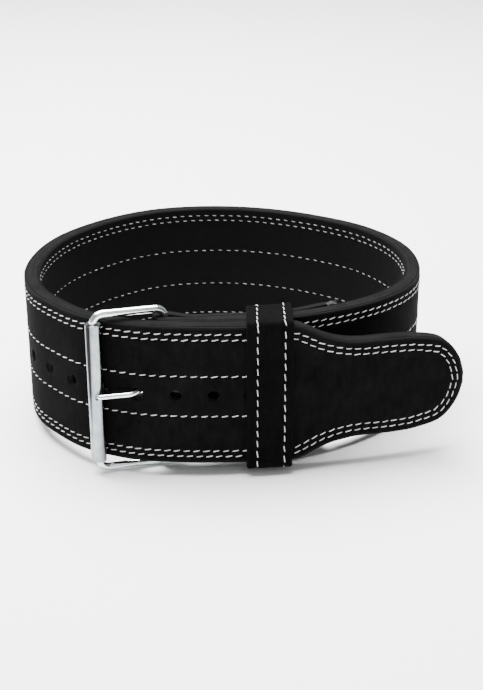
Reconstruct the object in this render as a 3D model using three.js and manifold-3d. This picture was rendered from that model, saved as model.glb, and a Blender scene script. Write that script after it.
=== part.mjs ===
// Weightlifting belt with a single-prong roller buckle, fastened and standing on its lower edge.
// Millimetres. While it is built, the front of the belt faces -Y, +X is to its right and Z = 0 is the
// strap's lower edge. At the end the whole belt leans onto the points it rests on, on the floor Z = 0.

import * as THREE from 'three';
import { mergeVertices } from 'three/addons/utils/BufferGeometryUtils.js';
import Module from 'manifold-3d';

const wasm = await Module();
wasm.setup();

// Strap: a leather core between two suede faces
const beltWidth = 100;
const leatherThickness = 7.4;
const suedeThickness = 1.5;
const glueGap = 0.3;
const leatherBevel = 1.6;
const bevelShare = 0.4;
const suedeSetback = 1.2;
const layerGap = 0.4;

// Ring that the strap makes, measured along the middle of its single layer
const ringAcross = 275.9;
const ringDeep = 237.8;

// Sideways lean of every upright line, for each millimetre of height
const racking = 0.022;

// Places along the strap, counted from the heel bar along the front, to the right
const rollerAt = -42.3;
const crossingLength = 88;
const tipDepartsAt = 52;
const tipLength = 154.8;
const tipBendRadius = 640;
const tipRise = 0.6;

// Rounded tip: where it starts to narrow, measured back from its end
const tipTaper = 126;

// Holes in the strap
const holeDiameter = 8.5;
const holePitch = 25.4;
const holesTowardTip = 3;
const holesTowardBody = 5;
const prongHoleAt = -17.5;

// Buckle end, skived thin and folded over the heel bar
const foldLeather = 3.4;
const skiveLength = 50;
const tailLength = 116;
const tailLift = 2.6;
const heelRun = 18;
const liningStart = 121;
const prongSlotHeight = 14;
const prongSlotReach = 13;

// Buckle
const wireDiameter = 5.2;
const wireClearance = 0.4;
const frameSlack = 3.7;
const frameDrop = 1.1;
const frameCorner = 7;
const rollerDiameter = 10.7;
const rollerLength = 100;
const rollerGap = 0.6;
const prongDiameter = 4;
const prongEyeWall = 2.6;
const prongClearance = 0.5;
const prongOverhang = 0.5;
const prongEyeLift = 4.3;
const prongDroop = 5.7;
const prongNotch = 1.2;
const prongCrestAt = 4;
const prongCrestRise = 2.4;

// Keeper loop round both layers
const keeperAt = 67.5;
const keeperWidth = 31;
const keeperThickness = 3.4;
const keeperSkew = 3.8;
const keeperGap = 0.5;
const keeperRounding = 2.6;

// Sizes that follow from the ones above
const beltThickness = leatherThickness + 2 * (suedeThickness + glueGap);
const middle = beltWidth / 2;
const heelGap = wireDiameter + 2 * wireClearance;
const foldRadius = heelGap / 2 + foldLeather + glueGap + suedeThickness;

// Outline of the ring, anticlockwise from the heel bar, in shares of half its width and half its depth
const ringOutline = [
  { across: -0.272, deep: -0.999 },
  { across: -0.070, deep: -0.999 },
  { across: 0.235, deep: -0.954 },
  { across: 0.539, deep: -0.808 },
  { across: 0.778, deep: -0.613 },
  { across: 0.938, deep: -0.367 },
  { across: 0.998, deep: -0.090 },
  { across: 0.959, deep: 0.298 },
  { across: 0.778, deep: 0.634 },
  { across: 0.496, deep: 0.857 },
  { across: 0.188, deep: 0.983 },
  { across: -0.128, deep: 0.996 },
  { across: -0.432, deep: 0.895 },
  { across: -0.693, deep: 0.659 },
  { across: -0.903, deep: 0.310 },
  { across: -0.990, deep: -0.056 },
  { across: -0.988, deep: -0.392 },
  { across: -0.903, deep: -0.669 },
  { across: -0.693, deep: -0.909 },
  { across: -0.475, deep: -0.985 },
];

// Half width of the tip, in shares of the belt's half width, by shares of the taper back from its end
const tipOutline = [
  { back: 0.000, half: 0.05 },
  { back: 0.007, half: 0.13 },
  { back: 0.027, half: 0.29 },
  { back: 0.063, half: 0.44 },
  { back: 0.111, half: 0.56 },
  { back: 0.169, half: 0.63 },
  { back: 0.294, half: 0.69 },
  { back: 0.397, half: 0.705 },
  { back: 0.508, half: 0.708 },
  { back: 0.603, half: 0.707 },
  { back: 0.706, half: 0.737 },
  { back: 0.806, half: 0.814 },
  { back: 0.893, half: 0.925 },
  { back: 0.944, half: 0.980 },
  { back: 1.000, half: 1.00 },
];

const suede = new THREE.MeshStandardMaterial({ color: 0x0e0e10, roughness: 0.97, metalness: 0 });
const lining = new THREE.MeshStandardMaterial({ color: 0x0c0c0e, roughness: 0.98, metalness: 0 });
const leather = new THREE.MeshStandardMaterial({ color: 0x2a2a2b, roughness: 0.6, metalness: 0 });
const keeperSuede = new THREE.MeshStandardMaterial({ color: 0x121214, roughness: 0.95, metalness: 0 });
const nickel = new THREE.MeshStandardMaterial({ color: 0xdfe7ea, roughness: 0.25, metalness: 1 });

// Closed ring curve and its length
const ringCurve = new THREE.CatmullRomCurve3(
  ringOutline.map((row) => new THREE.Vector3(row.across * ringAcross / 2, row.deep * ringDeep / 2, 0)),
  true,
  'centripetal',
);
ringCurve.arcLengthDivisions = 1200;
const ringLength = ringCurve.getLength();

function smooth(share) {
  return THREE.MathUtils.smoothstep(share, 0, 1);
}

// Right-hand side of a direction in plan, which is outward for an anticlockwise ring
function rightOf(direction) {
  return new THREE.Vector2(direction.y, -direction.x);
}

// Point of the single layer's outer face, with the directions along it and outward
function ringFace(distance) {
  const share = THREE.MathUtils.euclideanModulo(distance, ringLength) / ringLength;
  const centre = ringCurve.getPointAt(share);
  const tangent = ringCurve.getTangentAt(share);
  const along = new THREE.Vector2(tangent.x, tangent.y).normalize();
  const outward = rightOf(along);
  const point = new THREE.Vector2(centre.x, centre.y).addScaledVector(outward, beltThickness / 2);
  return { point, along, outward };
}

// The same for the front layer, which crosses from the ring to lie over the buckle end and then leaves
// it, bent less than the ring
function frontFace(distance) {
  const joined = Math.min(distance, tipDepartsAt);
  const face = ringFace(joined);
  const lift = (beltThickness + layerGap) * smooth(1 + joined / crossingLength);
  const bend = (distance - joined) / tipBendRadius;
  face.point.addScaledVector(face.outward, lift - tipBendRadius * (1 - Math.cos(bend)));
  face.point.addScaledVector(face.along, tipBendRadius * Math.sin(bend));
  face.along.rotateAround(new THREE.Vector2(), bend);
  face.outward = rightOf(face.along);
  return face;
}

// Place on the front layer at a true length from another, measured on its face
function placeAlongFront(start, length) {
  const stride = 0.5 * Math.sign(length);
  let distance = start;
  let left = Math.abs(length);
  while (left > 0) {
    const here = frontFace(distance).point;
    const run = here.distanceTo(frontFace(distance + stride).point);
    distance += stride * Math.min(1, left / run);
    left -= run;
  }
  return distance;
}

// Leather left in the buckle end at a distance from the heel bar, and its depth with the suede face
function skivedLeather(distance) {
  return THREE.MathUtils.lerp(foldLeather, leatherThickness, smooth(distance / skiveLength));
}

// Gap between the buckle end and the tail folded back on it
function tailGap(distance) {
  const overBar = (heelGap - layerGap) * (1 - smooth(distance / heelRun));
  const keeperEnd = keeperAt + keeperWidth / 2;
  const flare = tailLift * smooth((distance - keeperEnd) / (tailLength - keeperEnd));
  return layerGap + overBar + flare;
}

// Suede face of the tail, which looks into the ring
function tailFace(distance) {
  const face = ringFace(distance);
  const coats = 2 * (suedeThickness + glueGap);
  const depth = skivedLeather(distance) + tailGap(distance) + foldLeather + coats;
  face.point.addScaledVector(face.outward, -depth);
  return face;
}

// Centre of the heel bar, inside the fold
const heelFace = ringFace(0);
const heelBar = heelFace.point.clone().addScaledVector(heelFace.outward, -foldRadius);

// Centre of the front bar, which the roller turns on
const rollerFace = frontFace(rollerAt);
const frontBar = rollerFace.point.clone();
frontBar.addScaledVector(rollerFace.outward, rollerDiameter / 2 + rollerGap);

// Stations along the outer suede face, from the end of the tail round the belt to the end of the tip
function strapStations() {
  const stations = [];
  const straight = { half: middle, rise: 0, rimAlong: 0, rimUp: 1 };
  const add = (point, leatherDepth, lined, edge = straight) => {
    stations.push({ point, leatherDepth, lined, ...edge });
  };

  const tailSteps = 12;
  for (let step = 0; step < tailSteps; step += 1) {
    const distance = tailLength * (1 - step / tailSteps);
    add(tailFace(distance).point, foldLeather, false);
  }

  const foldSteps = 12;
  for (let step = 0; step < foldSteps; step += 1) {
    const angle = Math.PI * (1 - step / foldSteps);
    const arm = heelFace.outward.clone().rotateAround(new THREE.Vector2(), -angle);
    add(heelBar.clone().addScaledVector(arm, foldRadius), foldLeather, false);
  }

  const skiveSteps = 11;
  for (let step = 0; step < skiveSteps; step += 1) {
    const distance = liningStart * step / skiveSteps;
    add(ringFace(distance).point, skivedLeather(distance), false);
  }

  const bodyEnd = ringLength - crossingLength;
  const bodySteps = 62;
  for (let step = 0; step < bodySteps; step += 1) {
    const distance = THREE.MathUtils.lerp(liningStart, bodyEnd, step / bodySteps);
    add(ringFace(distance).point, leatherThickness, true);
  }

  const frontSteps = 16;
  for (let step = 0; step <= frontSteps; step += 1) {
    const distance = THREE.MathUtils.lerp(-crossingLength, tipDepartsAt, step / frontSteps);
    add(frontFace(distance).point, leatherThickness, true);
  }

  const freeLength = tipLength - tipTaper;
  const riseAt = (distance) => tipRise * ((distance - tipDepartsAt) / tipLength) ** 2;
  const freeSteps = 3;
  for (let step = 1; step < freeSteps; step += 1) {
    const distance = tipDepartsAt + freeLength * step / freeSteps;
    const edge = { ...straight, rise: riseAt(distance) };
    add(frontFace(distance).point, leatherThickness, true, edge);
  }

  const outline = new THREE.SplineCurve(
    tipOutline.map((row) => new THREE.Vector2(-row.back * tipTaper, row.half * middle)),
  );
  const tipSteps = 26;
  for (let step = 0; step <= tipSteps; step += 1) {
    const share = 1 - step / tipSteps;
    const rim = outline.getPoint(share);
    const course = outline.getTangent(share);
    const distance = tipDepartsAt + tipLength + rim.x;
    const edge = { half: rim.y, rise: riseAt(distance), rimAlong: course.y, rimUp: -course.x };
    add(frontFace(distance).point, leatherThickness, true, edge);
  }
  return stations;
}

// Each station's directions along the strap and outward, from the line through its neighbours
function addDirections(stations) {
  stations.forEach((station, index) => {
    const before = stations[Math.max(index - 1, 0)].point;
    const after = stations[Math.min(index + 1, stations.length - 1)].point;
    station.along = after.clone().sub(before).normalize();
    station.outward = rightOf(station.along);
  });
  return stations;
}

const stations = addDirections(strapStations());

// Closed solid from a geometry
function solidOf(geometry) {
  const bare = geometry.clone();
  bare.deleteAttribute('normal');
  bare.deleteAttribute('uv');
  const merged = mergeVertices(bare, 1e-4);
  const mesh = new wasm.Mesh({
    numProp: 3,
    vertProperties: new Float32Array(merged.attributes.position.array),
    triVerts: new Uint32Array(merged.index.array),
  });
  return new wasm.Manifold(mesh);
}

// Geometry from a closed solid
function geometryOf(solid) {
  const mesh = solid.getMesh();
  const geometry = new THREE.BufferGeometry();
  geometry.setAttribute('position', new THREE.BufferAttribute(mesh.vertProperties, 3));
  geometry.setIndex(new THREE.BufferAttribute(mesh.triVerts, 1));
  geometry.computeVertexNormals();
  return geometry;
}

// Plan extruded upward between two heights, with its long edges bevelled
function uprightSolid(plan, low, high, bevel) {
  const geometry = new THREE.ExtrudeGeometry(plan, {
    depth: high - low - 2 * bevel,
    bevelEnabled: bevel > 0,
    bevelThickness: bevel,
    bevelSize: bevel,
    bevelOffset: -bevel,
    bevelSegments: 1,
    steps: 1,
  });
  geometry.translate(0, 0, low + bevel);
  return solidOf(geometry);
}

// Round bar between two points
function barSolid(start, end, radius, sides) {
  const length = start.distanceTo(end);
  const geometry = new THREE.CylinderGeometry(radius, radius, length, sides);
  const turn = new THREE.Quaternion().setFromUnitVectors(
    new THREE.Vector3(0, 1, 0),
    end.clone().sub(start).normalize(),
  );
  geometry.applyQuaternion(turn);
  const centre = start.clone().add(end).multiplyScalar(0.5);
  geometry.translate(centre.x, centre.y, centre.z);
  return solidOf(geometry);
}

// Closed solid through rings of points, each ring listed from the right-hand side upward
function loftSolid(rings, closed) {
  const sides = rings[0].length;
  const count = rings.length;
  const faces = [];
  const joints = closed ? count : count - 1;
  for (let joint = 0; joint < joints; joint += 1) {
    const here = joint * sides;
    const next = ((joint + 1) % count) * sides;
    for (let corner = 0; corner < sides; corner += 1) {
      const turn = (corner + 1) % sides;
      faces.push(here + corner, next + corner, next + turn);
      faces.push(here + corner, next + turn, here + turn);
    }
  }
  if (!closed) {
    const last = (count - 1) * sides;
    for (let step = 0; step < sides / 2 - 1; step += 1) {
      const low = (sides - step) % sides;
      const lowNext = sides - step - 1;
      const high = step + 1;
      faces.push(low, high, high + 1, low, high + 1, lowNext);
      faces.push(last + low, last + high + 1, last + high, last + low, last + lowNext, last + high + 1);
    }
  }
  const geometry = new THREE.BufferGeometry().setFromPoints(rings.flat());
  geometry.setIndex(faces);
  return solidOf(geometry);
}

// Round wire through points: an open one has flat ends, a closed one joins on itself
function wireSolid(points, radius, sides, closed) {
  const count = points.length;
  const side = closed ? loopNormal(points) : new THREE.Vector3(0, 0, 1);
  const rings = points.map((point, index) => {
    const before = points[closed ? (index + count - 1) % count : Math.max(index - 1, 0)];
    const after = points[closed ? (index + 1) % count : Math.min(index + 1, count - 1)];
    const along = after.clone().sub(before).normalize();
    const right = new THREE.Vector3().crossVectors(along, side).normalize();
    const ring = [];
    for (let corner = 0; corner < sides; corner += 1) {
      const angle = 2 * Math.PI * corner / sides;
      const vertex = point.clone().addScaledVector(right, radius * Math.cos(angle));
      ring.push(vertex.addScaledVector(side, radius * Math.sin(angle)));
    }
    return ring;
  });
  return loftSolid(rings, closed);
}

// One layer of the strap between two depths under the suede face, with its long edges bevelled
function layerSolid(rows, outerDepth, innerDepth, setback, bevel) {
  const rings = rows.map((row) => {
    const outer = outerDepth(row);
    const inner = innerDepth(row);
    const edge = Math.min(bevel, bevelShare * (inner - outer));
    const corner = (depth, inset, upward) => {
      const plan = row.point.clone().addScaledVector(row.outward, -depth);
      plan.addScaledVector(row.along, -inset * row.rimAlong);
      const height = middle + row.rise + upward * (row.half - inset * row.rimUp);
      return new THREE.Vector3(plan.x, plan.y, height);
    };
    if (edge === 0) {
      return [
        corner(outer, setback, -1),
        corner(outer, setback, 1),
        corner(inner, setback, 1),
        corner(inner, setback, -1),
      ];
    }
    return [
      corner(outer, setback + edge, -1),
      corner(outer, setback + edge, 1),
      corner(outer + edge, setback, 1),
      corner(inner - edge, setback, 1),
      corner(inner, setback + edge, 1),
      corner(inner, setback + edge, -1),
      corner(inner - edge, setback, -1),
      corner(outer + edge, setback, -1),
    ];
  });
  return loftSolid(rings, false);
}

// Direction square to a flat loop of points
function loopNormal(points) {
  const first = points[1].clone().sub(points[0]);
  const second = points[Math.floor(points.length / 2)].clone().sub(points[0]);
  return new THREE.Vector3().crossVectors(first, second).normalize();
}

// Lean of the upright lines
const racked = new THREE.Matrix4().makeShear(0, 0, 0, 0, -racking, 0);

function meshOf(name, solid, material) {
  const geometry = geometryOf(solid).applyMatrix4(racked);
  const mesh = new THREE.Mesh(geometry, material);
  mesh.name = name;
  return mesh;
}

// Frame directions in plan: from the heel bar to the front bar, and out toward the front of the belt
const frameAlong = frontBar.clone().sub(heelBar).normalize();
const frameOut = rightOf(frameAlong).negate();
const frameDepth = frontBar.distanceTo(heelBar);

// Point by its distances along the frame and out of it, at a height
function framePoint(along, out, height) {
  const plan = heelBar.clone().addScaledVector(frameAlong, along).addScaledVector(frameOut, out);
  return new THREE.Vector3(plan.x, plan.y, height);
}

// Route of the prong: from its eye on the heel bar out through its hole, then down onto the roller
function prongRoute() {
  const hole = frontFace(prongHoleAt);
  const point = (along, out) => {
    const height = middle + prongEyeLift - prongDroop * along / frameDepth;
    return framePoint(along, out, height);
  };
  const through = (distance, outward) => {
    const place = hole.point.clone().addScaledVector(hole.along, -distance);
    place.addScaledVector(hole.outward, outward).sub(heelBar);
    return point(place.dot(frameAlong), place.dot(frameOut));
  };
  const play = (holeDiameter - prongDiameter) / 2;
  const start = wireDiameter / 2 + prongEyeWall;
  const crest = through(prongCrestAt, prongCrestRise);
  const seatOut = rollerDiameter / 2 + prongDiameter / 2 - prongNotch;
  const seat = point(frameDepth + prongOverhang, seatOut);
  return new THREE.CatmullRomCurve3([
    point(start, start / 3),
    through(-play, -beltThickness * 0.75),
    through(-play / 2, -beltThickness / 4),
    crest,
    crest.clone().lerp(seat, 1 / 3),
    crest.clone().lerp(seat, 2 / 3),
    seat,
  ], false, 'centripetal');
}

const prongCurve = prongRoute();

function prongShaft(radius) {
  return wireSolid(prongCurve.getSpacedPoints(22), radius, 12, false);
}

function prongSolid() {
  const eyeRadius = wireDiameter / 2 + wireClearance + prongEyeWall;
  const height = middle + prongEyeLift;
  const halfEye = prongDiameter / 2;
  const eye = barSolid(
    framePoint(0, 0, height - halfEye),
    framePoint(0, 0, height + halfEye),
    eyeRadius,
    20,
  );
  const bore = barSolid(
    framePoint(0, 0, height - prongDiameter),
    framePoint(0, 0, height + prongDiameter),
    wireDiameter / 2 + wireClearance,
    20,
  );
  return prongShaft(prongDiameter / 2).add(eye).subtract(bore);
}

// Round holes through the front layer, and the way that the prong opens through its own
function holeSolids() {
  const holes = [prongShaft(prongDiameter / 2 + prongClearance)];
  for (let step = -holesTowardBody; step <= holesTowardTip; step += 1) {
    const face = frontFace(placeAlongFront(prongHoleAt, step * holePitch));
    const start = face.point.clone().addScaledVector(face.outward, layerGap / 2);
    const end = face.point.clone().addScaledVector(face.outward, -beltThickness - layerGap / 2);
    holes.push(barSolid(
      new THREE.Vector3(start.x, start.y, middle),
      new THREE.Vector3(end.x, end.y, middle),
      holeDiameter / 2,
      16,
    ));
  }
  return holes;
}

// Slot through both sides of the fold, for the prong and its eye
function prongSlot() {
  const along = heelFace.along;
  const outward = heelFace.outward;
  const corner = (distance, out) => {
    return heelBar.clone().addScaledVector(along, distance).addScaledVector(outward, out);
  };
  const reach = foldRadius + layerGap / 2;
  const plan = new THREE.Shape([
    corner(-foldRadius - layerGap, -reach),
    corner(prongSlotReach, -reach),
    corner(prongSlotReach, reach),
    corner(-foldRadius - layerGap, reach),
  ]);
  return uprightSolid(plan, middle - prongSlotHeight / 2, middle + prongSlotHeight / 2, 0);
}

const cuts = [prongSlot(), ...holeSolids()];

function cutAll(solid) {
  return cuts.reduce((rest, cut) => rest.subtract(cut), solid);
}

// Leather core of the whole strap
function leatherCore() {
  const outer = suedeThickness + glueGap;
  return cutAll(layerSolid(stations, () => outer, (row) => outer + row.leatherDepth, 0, leatherBevel));
}

// Suede on the outside, which also goes round the fold and shows on the tail
function suedeFacing() {
  return cutAll(layerSolid(stations, () => 0, () => suedeThickness, suedeSetback, 0));
}

// Suede on the inside, which stops where the tail covers the strap
function suedeLining() {
  const rows = stations.filter((row) => row.lined);
  const outer = beltThickness - suedeThickness;
  return cutAll(layerSolid(rows, () => outer, () => beltThickness, suedeSetback, 0));
}

// Closed rectangle of round wire with rounded corners
function buckleFrame() {
  const low = -frameDrop - frameSlack - wireDiameter / 2;
  const high = beltWidth - frameDrop + frameSlack + wireDiameter / 2;
  const corners = [
    { along: frameCorner, height: low + frameCorner, start: Math.PI },
    { along: frameDepth - frameCorner, height: low + frameCorner, start: 1.5 * Math.PI },
    { along: frameDepth - frameCorner, height: high - frameCorner, start: 0 },
    { along: frameCorner, height: high - frameCorner, start: 0.5 * Math.PI },
  ];
  const cornerSteps = 6;
  const points = [];
  corners.forEach((corner) => {
    for (let step = 0; step <= cornerSteps; step += 1) {
      const angle = corner.start + 0.5 * Math.PI * step / cornerSteps;
      points.push(framePoint(
        corner.along + frameCorner * Math.cos(angle),
        0,
        corner.height + frameCorner * Math.sin(angle),
      ));
    }
  });
  return wireSolid(points, wireDiameter / 2, 12, true);
}

// Tube that turns on the front bar, with a shallow seat for the prong
function buckleRoller() {
  const half = rollerLength / 2;
  const outer = rollerDiameter / 2;
  const inner = wireDiameter / 2 + wireClearance;
  const profile = [
    new THREE.Vector2(inner, -half),
    new THREE.Vector2(outer, -half),
    new THREE.Vector2(outer, half),
    new THREE.Vector2(inner, half),
    new THREE.Vector2(inner, -half),
  ];
  const geometry = new THREE.LatheGeometry(profile, 28);
  geometry.rotateX(Math.PI / 2);
  geometry.translate(frontBar.x, frontBar.y, middle - frameDrop);
  return solidOf(geometry).subtract(prongShaft(prongDiameter / 2 + wireClearance));
}

// Place on the tail behind a point of the front layer, with the keeper's skew along a course
function placeBehind(point, course, start) {
  const tries = 4;
  let distance = start;
  for (let step = 0; step < tries; step += 1) {
    distance += point.clone().sub(tailFace(distance).point).dot(course) + keeperSkew;
  }
  return distance;
}

// Plan of the keeper at a distance outside what it holds
function keeperPlan(distance, overrun) {
  const steps = 6;
  const course = frontFace(keeperAt).along;
  const front = [];
  const rear = [];
  for (let step = 0; step <= steps; step += 1) {
    const share = step / steps - 0.5;
    const along = keeperAt + share * (keeperWidth + overrun);
    const outerFace = frontFace(along);
    const innerFace = tailFace(placeBehind(outerFace.point, course, along));
    front.push(outerFace.point.clone().addScaledVector(outerFace.outward, distance));
    rear.push(innerFace.point.addScaledVector(innerFace.outward, -distance));
  }
  return new THREE.Shape([...front, ...rear.reverse()]);
}

// Loop of thick suede-covered leather round both layers
function keeperLoop() {
  const outside = keeperGap + keeperThickness;
  const shell = uprightSolid(keeperPlan(outside, 0), -outside, beltWidth + outside, keeperRounding);
  const hollow = uprightSolid(keeperPlan(keeperGap, keeperWidth), -keeperGap, beltWidth + keeperGap, 0);
  return shell.subtract(hollow);
}

// Lean that sets the belt down on three of its lowest points, with its centre between them
function restingLean(points, centre) {
  const lean = new THREE.Vector2();
  const lowest = points.reduce((best, point) => (point.z < best.z ? point : best));
  const height = (point) => point.z - lean.x * point.x - lean.y * point.y;
  const offset = (from, to) => new THREE.Vector2(to.x - from.x, to.y - from.y);
  const tipToward = (hinge, direction) => {
    let found = null;
    let least = Infinity;
    points.forEach((point) => {
      const reach = offset(hinge, point).dot(direction);
      const slope = (height(point) - height(hinge)) / reach;
      if (reach > 1 && slope < least) {
        least = slope;
        found = point;
      }
    });
    lean.addScaledVector(direction, least);
    return found;
  };
  let first = lowest;
  let second = tipToward(first, offset(first, centre).normalize());
  for (let roll = 0; roll < 400; roll += 1) {
    const edge = offset(first, second);
    const side = rightOf(edge).normalize();
    side.multiplyScalar(Math.sign(offset(first, centre).dot(side)) || 1);
    const third = tipToward(first, side);
    const outsideOf = (from, to, opposite) => {
      const normal = rightOf(offset(from, to));
      return offset(from, centre).dot(normal) * offset(from, opposite).dot(normal) < 0;
    };
    if (outsideOf(first, third, second)) {
      second = third;
    } else if (outsideOf(second, third, first)) {
      first = second;
      second = third;
    } else {
      break;
    }
  }
  return lean;
}

const belt = new THREE.Group();
belt.add(
  meshOf('leather_core', leatherCore(), leather),
  meshOf('suede_facing', suedeFacing(), suede),
  meshOf('suede_lining', suedeLining(), lining),
  meshOf('keeper_loop', keeperLoop(), keeperSuede),
  meshOf('buckle_frame', buckleFrame(), nickel),
  meshOf('buckle_roller', buckleRoller(), nickel.clone()),
  meshOf('buckle_prong', prongSolid(), nickel.clone()),
);

// Every corner of the belt's pieces
function allCorners(group) {
  const corners = [];
  group.children.forEach((mesh) => {
    const places = mesh.geometry.attributes.position;
    for (let index = 0; index < places.count; index += 1) {
      corners.push(new THREE.Vector3().fromBufferAttribute(places, index));
    }
  });
  return corners;
}

// Middle of a closed mesh's volume
function centreOf(mesh) {
  const places = mesh.geometry.attributes.position;
  const order = mesh.geometry.index;
  const corner = (index) => new THREE.Vector3().fromBufferAttribute(places, order.getX(index));
  const sum = new THREE.Vector3();
  let volume = 0;
  for (let index = 0; index < order.count; index += 3) {
    const [first, second, third] = [corner(index), corner(index + 1), corner(index + 2)];
    const part = first.dot(second.clone().cross(third));
    volume += part;
    sum.addScaledVector(first.add(second).add(third), part / 4);
  }
  return sum.divideScalar(volume);
}

// The belt stands on its lower edge and the buckle, leaned as it rests, over the middle of its box
const lean = restingLean(allCorners(belt), centreOf(belt.getObjectByName('leather_core')));
belt.quaternion.setFromUnitVectors(
  new THREE.Vector3(-lean.x, -lean.y, 1).normalize(),
  new THREE.Vector3(0, 0, 1),
);
belt.updateMatrixWorld(true);
const box = new THREE.Box3().setFromObject(belt, true);
const boxCentre = box.getCenter(new THREE.Vector3());
belt.position.set(-boxCentre.x, -boxCentre.y, -box.min.z);

const standing = new THREE.Group();
standing.add(belt);

export default standing;
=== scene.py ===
"""Weightlifting belt with a single-prong roller buckle, fastened and standing on its lower edge.

Sizes and places are in millimetres, in the frame the belt was drawn in: the front faces -Y, +X is to its
right and the strap's lower edge is at height 0. place() leans it as it stands and turns it into metres.
"""
import math

import bmesh
import bpy
import numpy as np
from mathutils import Matrix, Vector


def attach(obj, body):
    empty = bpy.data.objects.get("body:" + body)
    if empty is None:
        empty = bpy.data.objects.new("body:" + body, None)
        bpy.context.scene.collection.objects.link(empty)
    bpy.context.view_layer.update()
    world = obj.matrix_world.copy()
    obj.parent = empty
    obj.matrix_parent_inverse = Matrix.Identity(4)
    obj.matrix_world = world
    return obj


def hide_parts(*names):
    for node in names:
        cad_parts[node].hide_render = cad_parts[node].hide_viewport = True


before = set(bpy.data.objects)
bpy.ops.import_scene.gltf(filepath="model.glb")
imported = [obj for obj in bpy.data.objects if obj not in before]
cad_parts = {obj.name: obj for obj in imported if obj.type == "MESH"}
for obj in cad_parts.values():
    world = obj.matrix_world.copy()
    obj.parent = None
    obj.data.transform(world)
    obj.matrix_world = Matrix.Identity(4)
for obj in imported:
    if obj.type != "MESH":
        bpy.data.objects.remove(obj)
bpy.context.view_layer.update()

# Strap, as in the solids
BELT_WIDTH = 100.0
LEATHER_THICKNESS = 7.4
SUEDE_THICKNESS = 1.5
GLUE_GAP = 0.3
SUEDE_SETBACK = 0.35
LAYER_GAP = 0.4
BELT_THICKNESS = LEATHER_THICKNESS + 2 * (SUEDE_THICKNESS + GLUE_GAP)
MIDDLE = BELT_WIDTH / 2
RING_ACROSS = 275.9
RING_DEEP = 237.8
CROSSING_LENGTH = 88.0
TIP_DEPARTS_AT = 52.0
TIP_LENGTH = 154.8
TIP_BEND_RADIUS = 640.0
TIP_RISE = 0.6
TIP_TAPER = 126.0
RACKING = 0.022

# Holes, buckle end and buckle, as in the solids
HOLE_DIAMETER = 8.5
HOLE_PITCH = 25.4
HOLES_TOWARD_TIP = 3
HOLES_TOWARD_BODY = 5
PRONG_HOLE_AT = -17.5
FOLD_LEATHER = 3.4
SKIVE_LENGTH = 50.0
TAIL_LENGTH = 116.0
TAIL_LIFT = 2.6
HEEL_RUN = 18.0
LINING_START = 121.0
PRONG_SLOT_HEIGHT = 14.0
PRONG_SLOT_REACH = 13.0
ROLLER_AT = -42.3
WIRE_DIAMETER = 5.2
WIRE_CLEARANCE = 0.4
FRAME_SLACK = 3.7
FRAME_DROP = 1.1
FRAME_CORNER = 7.0
ROLLER_DIAMETER = 10.7
ROLLER_LENGTH = 100.0
ROLLER_GAP = 0.6
PRONG_DIAMETER = 4.0
PRONG_EYE_WALL = 2.6
PRONG_CLEARANCE = 0.5
PRONG_OVERHANG = 0.5
PRONG_EYE_LIFT = 4.3
PRONG_DROOP = 5.7
PRONG_NOTCH = 1.2
PRONG_CREST_AT = 4.0
PRONG_CREST_RISE = 2.4
KEEPER_AT = 67.5
KEEPER_WIDTH = 31.0
KEEPER_THICKNESS = 3.4
KEEPER_GAP = 0.5
KEEPER_SKEW = 3.8

# How the belt leans as it stands, and where its drawing frame's origin then is
LEAN = (0.0189176, 0.0353845)
SEAT = (-10.67642, 4.61421, 4.9815)

# Outline of the ring, in shares of half its width and half its depth
RING_OUTLINE = [
    (-0.272, -0.999), (-0.070, -0.999), (0.235, -0.954), (0.539, -0.808), (0.778, -0.613),
    (0.938, -0.367), (0.998, -0.090), (0.959, 0.298), (0.778, 0.634), (0.496, 0.857),
    (0.188, 0.983), (-0.128, 0.996), (-0.432, 0.895), (-0.693, 0.659), (-0.903, 0.310),
    (-0.990, -0.056), (-0.988, -0.392), (-0.903, -0.669), (-0.693, -0.909), (-0.475, -0.985),
]

# Half width of the tip, in shares of the belt's half width, by shares of the taper back from its end
TIP_OUTLINE = [
    (0.000, 0.05), (0.007, 0.13), (0.027, 0.29), (0.063, 0.44), (0.111, 0.56),
    (0.169, 0.63), (0.294, 0.69), (0.397, 0.705), (0.508, 0.708), (0.603, 0.707),
    (0.706, 0.737), (0.806, 0.814), (0.893, 0.925), (0.944, 0.980), (1.000, 1.00),
]

# Stitches: rows in from the strap's edges, rows off its middle, and the thread
EDGE_ROWS = (5.36, 9.37)
MIDDLE_ROW = 14.54
STITCH_PITCH = 6.6
STITCH_LENGTH = 4.7
THREAD_RADIUS = 0.3
OUTER_SLANTS = (10.0, 7.0)
INNER_SLANTS = (-5.0, -5.0)
INNER_STITCH_LENGTH = 3.3
KEEPER_ROW_INSETS = (7.0, 5.7)
KEEPER_STITCH_PITCH = 7.6

# Fibres at the cut end of the tail
FIBRES = 240
FIBRE_LENGTH = 9.5

# Seam of the rolled tube, and the painted shade beside the prong's seat, a dark patch on the metal that stands for
# the prong's shadow and reflection
ROLLER_SEAM_ANGLE = -128.0
SEAM_WIDTH = 2.1
PRONG_SHADE_LEVEL = 2.8
PRONG_SHADE_REACH = 5.5

# Photo frame, and the camera that looks at the belt from it
PHOTO_WIDTH = 483
PHOTO_HEIGHT = 690
FOCAL_PIXELS = 1312.7
SENSOR = 36.0
CAMERA_AIM = (11.33, -48.63, 50.0)
CAMERA_DISTANCE = 949.1
CAMERA_ELEVATION = 23.652
CAMERA_ROLL = 1.272

# Light: brightness of the surroundings, and its changes by bearing from the front toward the right
WORLD_LEVEL = 0.45
WORLD_HUMPS = ((75.0, 30.0, -0.3), (-75.0, 20.0, 0.35))


# Placing and mesh building

lean_turn = np.array(
    Vector((-LEAN[0], -LEAN[1], 1.0)).normalized()
    .rotation_difference(Vector((0.0, 0.0, 1.0))).to_matrix()
)


def turn(directions):
    """Directions of the drawing frame as they are once the belt leans."""
    return np.asarray(directions, float) @ lean_turn.T


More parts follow.
